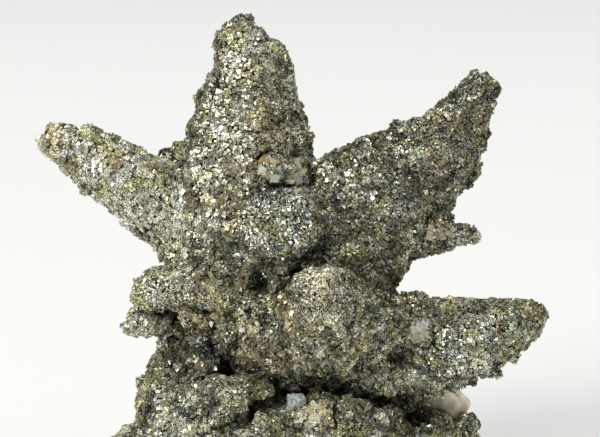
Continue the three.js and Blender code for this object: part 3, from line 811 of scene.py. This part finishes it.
ORANGE = (0.52, 0.35, 0.16, 0.0)
PEACH = (0.66, 0.54, 0.36, 0.0)
GREY_BEIGE = (0.44, 0.43, 0.33, 0.0)
OLIVE_BEIGE = (0.36, 0.34, 0.20, 0.0)
PALE_BEIGE = (0.70, 0.66, 0.51, 0.0)
PINK_BEIGE = (0.46, 0.39, 0.29, 0.0)
GOLD_CREAM = (0.72, 0.62, 0.36, 0.1)
TAN = (0.42, 0.36, 0.22, 0.0)
BROWN_TAN = (0.27, 0.22, 0.15, 0.0)
MAUVE = (0.62, 0.59, 0.55, 0.0)

# Each row has the column and row in the picture, the width, height and depth in millimetres, the turn in
# degrees and the colour.
UPPER_CRYSTALS = [
    (266, 160, 1.5, 0.7, 1.2, 20, ORANGE),
    (274, 161, 1.3, 0.8, 1.1, 28, PEACH),
    (276, 171, 1.6, 1.1, 1.2, -14, GREY_BEIGE),
    (288, 172, 1.4, 1.4, 1.2, 8, OLIVE_BEIGE),
    (298, 166, 1.1, 1.6, 1.1, -10, GREY_BEIGE),
    (274, 179, 1.1, 1.1, 1.1, 6, GREY_BEIGE),
    (287, 181, 1.8, 0.6, 1.1, 4, PALE_BEIGE),
    (298, 179, 1.2, 1.2, 1.1, -20, GREY_BEIGE),
    (283, 165, 1.0, 0.9, 1.0, 40, PALE_BEIGE),
    (262, 169, 0.8, 0.7, 0.9, 10, PALE_BEIGE),
    (292, 162, 0.9, 0.8, 1.0, 30, OLIVE_BEIGE),
    (268, 174, 0.9, 0.9, 1.0, -30, OLIVE_BEIGE),
    (281, 176, 0.8, 0.9, 1.0, 55, PALE_BEIGE),
    (303, 172, 0.9, 1.0, 1.0, 15, OLIVE_BEIGE),
]
SIDE_CRYSTALS = [
    (431, 227, 0.8, 1.2, 1.0, 4, GREY_BEIGE),
    (440, 226, 1.0, 1.1, 1.0, -6, GREY_BEIGE),
    (431, 236, 0.9, 1.0, 1.0, 12, PINK_BEIGE),
    (441, 236, 1.2, 1.0, 1.0, -24, GREY_BEIGE),
    (448, 232, 0.9, 0.9, 0.9, 30, OLIVE_BEIGE),
]
FLAT_CRYSTALS = [
    (420, 329, 1.5, 1.9, 1.3, 8, MAUVE),
    (417, 338, 1.3, 1.2, 1.2, -12, PINK_BEIGE),
    (424, 323, 1.0, 1.0, 1.2, 20, MAUVE),
    (414, 330, 0.7, 1.1, 1.2, -6, PALE_BEIGE),
    (425, 333, 0.8, 1.0, 1.2, 14, GREY_BEIGE),
]
LOWER_CRYSTALS = [
    (312, 412, 1.0, 0.9, 1.1, 12, GOLD_CREAM),
    (318, 407, 0.9, 1.0, 1.1, 30, PALE_BEIGE),
    (323, 413, 1.0, 1.0, 1.1, -10, GOLD_CREAM),
    (316, 419, 1.2, 1.0, 1.1, 0, PALE_BEIGE),
    (325, 421, 0.9, 0.8, 1.1, 24, GOLD_CREAM),
    (309, 422, 0.8, 0.8, 1.0, 40, GOLD_CREAM),
]
HOLLOW_PEBBLES = [
    (184, 308, 1.45, 1.4, 1.3, 0, OLIVE_BEIGE),
    (190, 316, 0.8, 0.7, 0.8, 0, GOLD_CREAM),
    (196, 320, 0.9, 0.7, 0.8, 0, GOLD_CREAM),
    (202, 326, 0.8, 0.8, 0.8, 0, TAN),
]
BROWN_PEBBLES = [
    (201, 366, 1.9, 1.4, 1.3, -8, BROWN_TAN),
    (192, 371, 0.9, 0.8, 0.8, 0, PINK_BEIGE),
    (190, 360, 0.9, 0.8, 0.8, 0, PALE_BEIGE),
]
ORE_PEBBLES = [
    (242, 369, 2.0, 1.4, 1.4, 0, BROWN_TAN),
    (222, 380, 1.5, 1.4, 1.2, 0, PALE_BEIGE),
    (269, 395, 2.1, 1.7, 1.5, 0, OLIVE_BEIGE),
    (224, 335, 1.2, 1.2, 1.1, 0, PINK_BEIGE),
    (282, 413, 0.9, 0.9, 0.9, 0, PALE_BEIGE),
    (298, 422, 1.0, 0.8, 0.9, 0, PALE_BEIGE),
    (321, 389, 1.0, 1.3, 1.0, 0, GOLD_CREAM),
    (309, 401, 1.3, 1.3, 1.2, 0, TAN),
    (172, 384, 1.3, 1.3, 1.2, 0, OLIVE_BEIGE),
    (160, 374, 1.2, 1.1, 1.0, 0, GOLD_CREAM),
    (160, 396, 1.1, 1.2, 1.0, 0, OLIVE_BEIGE),
    (172, 362, 1.0, 1.0, 1.0, 0, GOLD_CREAM),
    (152, 330, 1.1, 1.0, 1.0, 0, OLIVE_BEIGE),
    (182, 352, 1.0, 0.9, 0.9, 0, PALE_BEIGE),
    (252, 402, 1.2, 1.0, 1.0, 0, GREY_BEIGE),
    (168, 420, 1.0, 0.7, 0.8, 0, PALE_BEIGE),
    (388, 392, 1.3, 1.2, 1.2, 0, BROWN_TAN),
    (372, 400, 1.1, 1.0, 1.0, 0, OLIVE_BEIGE),
    (458, 412, 1.6, 1.5, 1.3, 0, OLIVE_BEIGE),
    (462, 403, 0.8, 1.4, 0.9, -20, GOLD_CREAM),
]


# The cube of galena, turned as its solid is, and the calcite.
GALENA_SIDE = 1.8 * 1.08 * MM  # a little larger than the solid, because the ridges are cut into it
GALENA_TURN = Euler([math.radians(angle) for angle in (8, 4, 10)])
GALENA_CUTS = 23
# Partly galena's own pale grey, partly painted light: whiter and less metallic than the metal, so it stays
# bright where its metal would mirror dark.
PALE_GALENA_PAINTED_LIGHT = (0.84, 0.92, 0.87, 0.25)


def striated_cube(node, material):
    """A cube with growth steps and fine upright ridges."""
    low, high = (Vector(corner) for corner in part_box(node))
    shape = bmesh.new()
    bmesh.ops.create_cube(shape, size=1)
    bmesh.ops.subdivide_edges(shape, edges=shape.edges[:], cuts=GALENA_CUTS, use_grid_fill=True)
    shape.normal_update()
    for vertex in shape.verts:
        across = Vector((12 * vertex.co.x, 12 * vertex.co.y, 1.5 * vertex.co.z))
        depth = 0.04 * noise.cell(across) + 0.05 * noise.cell(2.4 * vertex.co + Vector((0.4, 3.1, 0.8)))
        vertex.co -= depth * vertex.normal
    turn = GALENA_TURN.to_matrix().to_4x4() * GALENA_SIDE
    turn.translation = (low + high) / 2
    bmesh.ops.transform(shape, matrix=turn, verts=shape.verts)
    mesh = bpy.data.meshes.new(f"{node}_striated")
    shape.to_mesh(mesh)
    shape.free()
    paint(mesh, np.tile(PALE_GALENA_PAINTED_LIGHT, (len(mesh.vertices), 1)))
    return object_from(mesh.name, mesh, material)


CALCITE_VOXEL = 0.22 * MM
CALCITE_ROUNDS = 14  # of smoothing
CALCITE_CREAM = (0.86, 0.82, 0.66, 0)
CALCITE_TAN = (0.50, 0.41, 0.26, 0)


def smooth_crystal(node, material):
    """The solid with its edges worn away, paler towards the upper right."""
    mesh = fine_mesh(node, CALCITE_VOXEL)
    shape = bmesh.new()
    shape.from_mesh(mesh)
    for _ in range(CALCITE_ROUNDS):
        bmesh.ops.smooth_vert(
            shape, verts=shape.verts, factor=0.5, use_axis_x=True, use_axis_y=True, use_axis_z=True,
        )
    shape.to_mesh(mesh)
    shape.free()
    points, normals, _ = mesh_arrays(mesh)
    rise = 0.4 + 0.3 * noise_at(points, 1.3 * MM, 61) + 0.06 * noise_at(points, 0.4 * MM, 62)
    mesh.vertices.foreach_set("co", (points + normals * (rise * MM)[:, None]).ravel())
    mesh.shade_smooth()
    low, high = np.array(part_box(node))
    part = (points - low) / (high - low)
    tan = np.clip(1.3 - part[:, 0] - 0.9 * part[:, 2] + noise_at(points, 1.5 * MM, 63), 0, 1)
    paint(mesh, blended(np.tile(CALCITE_CREAM, (len(points), 1)), CALCITE_TAN, tan))
    return object_from(f"{node}_worn", mesh, material)


# Materials

def new_material(name):
    """A material with its node tree and its shader."""
    material = bpy.data.materials.new(name)
    material.use_nodes = True
    tree = material.node_tree
    return material, tree, tree.nodes["Principled BSDF"]


def add_node(tree, kind, inputs=(), **settings):
    """A new node with its settings and its inputs, each a value or another node's output."""
    made = tree.nodes.new(kind)
    for key, value in settings.items():
        setattr(made, key, value)
    for key, value in dict(inputs).items():
        if isinstance(value, bpy.types.NodeSocket):
            tree.links.new(value, made.inputs[key])
        else:
            made.inputs[key].default_value = value
    return made


def object_place(tree):
    """The place in metres that patterns are read at."""
    return add_node(tree, "ShaderNodeTexCoord").outputs["Object"]


def mesh_tint(tree):
    """The colour that each vertex was painted with, and its alpha, which says how metallic it is."""
    tint = add_node(tree, "ShaderNodeVertexColor", layer_name="tint")
    return tint.outputs["Color"], tint.outputs["Alpha"]


def clouds(tree, size, detail):
    """Cloudy noise of this size."""
    inputs = {"Vector": object_place(tree), "Scale": 1 / size, "Detail": detail}
    return add_node(tree, "ShaderNodeTexNoise", inputs).outputs[0]


def spread(tree, value, low, high, start=0.3, end=0.7):
    """The value with `start` to `end` spread over `low` to `high`, and no further."""
    inputs = {"Value": value, 1: start, 2: end, 3: low, 4: high}
    return add_node(tree, "ShaderNodeMapRange", inputs).outputs[0]


def vector_math(tree, operation, **inputs):
    """A vector from two others, `a` and `b`, or from one and a `scale`."""
    sockets = {{"a": 0, "b": 1, "scale": "Scale"}[key]: value for key, value in inputs.items()}
    return add_node(tree, "ShaderNodeVectorMath", sockets, operation=operation).outputs[0]


def bumps(tree, height, distance, strength):
    """Normals as if the surface had this height on it."""
    inputs = {"Height": height, "Distance": distance, "Strength": strength}
    return add_node(tree, "ShaderNodeBump", inputs).outputs[0]


def facets(tree, size, strength):
    """Normals that tip a little from one small face to the next, and the thin cracks between the faces."""
    pattern = {"Vector": object_place(tree), "Scale": 1 / size}
    cells = add_node(tree, "ShaderNodeTexVoronoi", pattern).outputs["Color"]
    tip = vector_math(tree, "SUBTRACT", a=cells, b=(0.5, 0.5, 0.5))
    part = vector_math(tree, "SCALE", a=tip, scale=strength)
    normal = add_node(tree, "ShaderNodeNewGeometry").outputs["Normal"]
    normal = vector_math(tree, "NORMALIZE", a=vector_math(tree, "ADD", a=normal, b=part))
    edges = add_node(tree, "ShaderNodeTexVoronoi", pattern, feature="DISTANCE_TO_EDGE").outputs["Distance"]
    return normal, spread(tree, edges, 0.12, 1.0, start=0.02, end=0.15)


def grain_material(name, roughness, facet_size, facet_tip):
    """Metal and stone grains with small faces, which tip less the more metallic they are."""
    material, tree, shader = new_material(name)
    colour, metallic = mesh_tint(tree)
    tip = spread(tree, metallic, 1.4 * facet_tip, 0.4 * facet_tip, start=0.4, end=1.0)
    normal, crack = facets(tree, facet_size, tip)
    stain = clouds(tree, 0.6 * MM, 4.0)
    shade = {0: spread(tree, stain, 0.7, 1.15), 1: crack}
    shade = add_node(tree, "ShaderNodeMath", shade, operation="MULTIPLY").outputs[0]
    tree.links.new(vector_math(tree, "SCALE", a=colour, scale=shade), shader.inputs["Base Color"])
    tree.links.new(metallic, shader.inputs["Metallic"])
    tree.links.new(spread(tree, stain, *roughness), shader.inputs["Roughness"])
    tree.links.new(normal, shader.inputs["Normal"])
    return material


def gap_material(name):
    """The dark ore seen between the grains."""
    material, tree, shader = new_material(name)
    colour, metallic = mesh_tint(tree)
    stain = clouds(tree, 0.4 * MM, 5.0)
    shade = vector_math(tree, "SCALE", a=colour, scale=spread(tree, stain, 0.3, 1.6))
    tree.links.new(shade, shader.inputs["Base Color"])
    tree.links.new(metallic, shader.inputs["Metallic"])
    tree.links.new(bumps(tree, stain, 0.15 * MM, 1.0), shader.inputs["Normal"])
    shader.inputs["Roughness"].default_value = 0.6
    return material


def carbonate_material(name, roughness, line_length):
    """Stony crystals with faint growth lines and cloudy colour."""
    material, tree, shader = new_material(name)
    colour, metallic = mesh_tint(tree)
    cloud = clouds(tree, 0.5 * MM, 4.0)
    shade = vector_math(tree, "SCALE", a=colour, scale=spread(tree, cloud, 0.65, 1.25))
    tree.links.new(shade, shader.inputs["Base Color"])
    tree.links.new(metallic, shader.inputs["Metallic"])
    pattern = {"Vector": object_place(tree), "Scale": 1 / line_length, "Distortion": 3.0, "Detail": 2.0}
    lines = add_node(tree, "ShaderNodeTexWave", pattern).outputs[1]
    height = add_node(tree, "ShaderNodeMath", {0: lines, 1: cloud}, operation="ADD").outputs[0]
    tree.links.new(bumps(tree, height, 0.06 * MM, 0.8), shader.inputs["Normal"])
    shader.inputs["Roughness"].default_value = roughness
    return material


def calcite_material():
    """Waxy crystal that light goes a little way into."""
    material, tree, shader = new_material("waxy_calcite")
    colour, _ = mesh_tint(tree)
    cloud = clouds(tree, 1.1 * MM, 5.0)
    shade = vector_math(tree, "SCALE", a=colour, scale=spread(tree, cloud, 0.8, 1.1))
    tree.links.new(shade, shader.inputs["Base Color"])
    tree.links.new(bumps(tree, cloud, 0.1 * MM, 0.6), shader.inputs["Normal"])
    shader.inputs["Roughness"].default_value = 0.45
    shader.inputs["Subsurface Weight"].default_value = 0.35
    shader.inputs["Subsurface Radius"].default_value = (1, 0.9, 0.7)
    shader.inputs["Subsurface Scale"].default_value = 0.6 * MM
    return material


# Light and ground

def floor_material():
    """Matt white card."""
    material, _, shader = new_material("floor")
    shader.inputs["Base Color"].default_value = (0.85, 0.855, 0.845, 1)
    shader.inputs["Roughness"].default_value = 0.9
    return material


def make_floor():
    """The floor that the specimen stands on."""
    bpy.ops.mesh.primitive_plane_add(size=8)
    floor = bpy.context.active_object
    floor.name = "floor"
    floor.data.materials.append(floor_material())


def way_to(azimuth, elevation):
    """The direction from the specimen towards that side."""
    a, e = math.radians(azimuth), math.radians(elevation)
    return Vector((math.sin(a) * math.cos(e), -math.cos(a) * math.cos(e), math.sin(e)))


def area_light(name, azimuth, elevation, distance, size, watts, colour):
    """A square soft light that shines on the specimen from that side."""
    data = bpy.data.lights.new(name, "AREA")
    data.shape = "SQUARE"
    data.size = size
    data.energy = watts
    data.color = colour
    light = bpy.data.objects.new(name, data)
    bpy.context.scene.collection.objects.link(light)
    away = way_to(azimuth, elevation)
    light.location = CAMERA_TARGET + away * distance
    light.rotation_euler = away.to_track_quat("Z", "Y").to_euler()


def make_world():
    """Light from all round, more from above, in front of a plain bright backdrop."""
    world = bpy.data.worlds.new("studio")
    bpy.context.scene.world = world
    world.use_nodes = True
    tree = world.node_tree
    direction = add_node(tree, "ShaderNodeTexCoord").outputs["Generated"]
    height = add_node(tree, "ShaderNodeSeparateXYZ", {0: direction}).outputs["Z"]
    glow = add_node(tree, "ShaderNodeMapRange", {"Value": height, 1: 0.15, 2: 0.95, 3: 0.04, 4: 0.9})
    seen = add_node(tree, "ShaderNodeLightPath").outputs["Is Camera Ray"]
    strength = add_node(tree, "ShaderNodeMix", {0: seen, 2: glow.outputs[0], 3: 0.93})
    background = tree.nodes["Background"]
    background.inputs["Color"].default_value = (1, 1, 0.99, 1)
    tree.links.new(strength.outputs[0], background.inputs["Strength"])


make_camera()
make_world()
make_floor()
for name, light in LIGHTS.items():
    area_light(name, *light)
bpy.context.scene.view_settings.view_transform = "Standard"

to_key, to_camera = way_to(KEY_AZIMUTH, KEY_ELEVATION), way_to(0, math.degrees(CAMERA_ELEVATION))
MIRROR_WAY = np.array((to_key + to_camera).normalized())  # a face that looks this way mirrors the key light

grain_look = grain_material("pyrrhotite_grains", (0.28, 0.46), 0.34 * MM, 0.35)
matrix_look = grain_material("ore_grains", (0.32, 0.52), 0.36 * MM, 0.4)
gap_look = gap_material("gap_ore")
stone_look = carbonate_material("carbonate_stone", 0.4, 0.35 * MM)
galena_look = carbonate_material("galena_metal", 0.32, 0.2 * MM)
calcite_look = calcite_material()
cad = {name: node.data for name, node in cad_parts.items()}
cad_tree = search_tree(*cad.values())


def own(piece, slot):
    """The piece rides on the one body. Its slot is not used."""
    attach(piece, "root")


# Each solid under grains: the spacing of its nodules and how far it swells to fill its socket, in
# millimetres, its look and slot, and the lump beside it.
DRESSED = {
    "pyrrhotite_cluster": (1.5, 0, grain_look, "pyrrhotite_crust", "ore_matrix"),
    "ore_matrix": (2.0, 0, matrix_look, "dark_ore", "pyrrhotite_cluster"),
    "upper_carbonates": (1.0, 0.5, matrix_look, "carbonate", None),
    "side_carbonates": (1.0, 0.5, matrix_look, "carbonate", None),
    "lower_carbonates": (1.0, 0.5, matrix_look, "carbonate", None),
    "hollow_carbonates": (1.0, 0.5, matrix_look, "brown_carbonate", None),
    "brown_crystal": (1.0, 0.5, matrix_look, "brown_carbonate", None),
    "flat_crystal": (1.0, 0.5, matrix_look, "mauve_mineral", None),
}
nodules = {}
bases = {}
for seed, (node, (spacing, swollen, _, slot, _)) in enumerate(DRESSED.items(), 5):
    nodules[node] = Nodules(fine_mesh(node, 2 * BASE_VOXEL), spacing * MM, np.random.default_rng(seed))
    bases[node] = base_surface(node, swollen, nodules[node], cad_tree, gap_look, seed)
    own(bases[node], slot)
    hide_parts(node)
base_tree = search_tree(*[base.data for base in bases.values()])
for seed, (node, (_, _, look, slot, neighbour)) in enumerate(DRESSED.items(), 25):
    beside = search_tree(cad[neighbour]) if neighbour else None
    for piece in crust(f"{node}_grains", bases[node], beside, nodules[node], base_tree, look, seed):
        own(piece, slot)

own(standing_crystals("ore_pebbles", ORE_PEBBLES, base_tree, stone_look, 51, True), "dark_ore")
cube = striated_cube("galena_cube", galena_look)
own(cube, "galena")
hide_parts("galena_cube")
worn = smooth_crystal("calcite_crystal", calcite_look)
own(worn, "calcite")
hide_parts("calcite_crystal")
own(standing_crystals("upper_crystals", UPPER_CRYSTALS, base_tree, stone_look, 45), "carbonate")
own(standing_crystals("side_crystals", SIDE_CRYSTALS, base_tree, stone_look, 46), "carbonate")
own(standing_crystals("lower_crystals", LOWER_CRYSTALS, base_tree, stone_look, 47, sink=0.1), "carbonate")
own(standing_crystals("flat_crystals", FLAT_CRYSTALS, base_tree, stone_look, 48, sink=0.1), "mauve_mineral")
own(standing_crystals("hollow_pebbles", HOLLOW_PEBBLES, base_tree, stone_look, 49, True), "brown_carbonate")
own(standing_crystals("brown_pebbles", BROWN_PEBBLES, base_tree, stone_look, 50, True), "brown_carbonate")
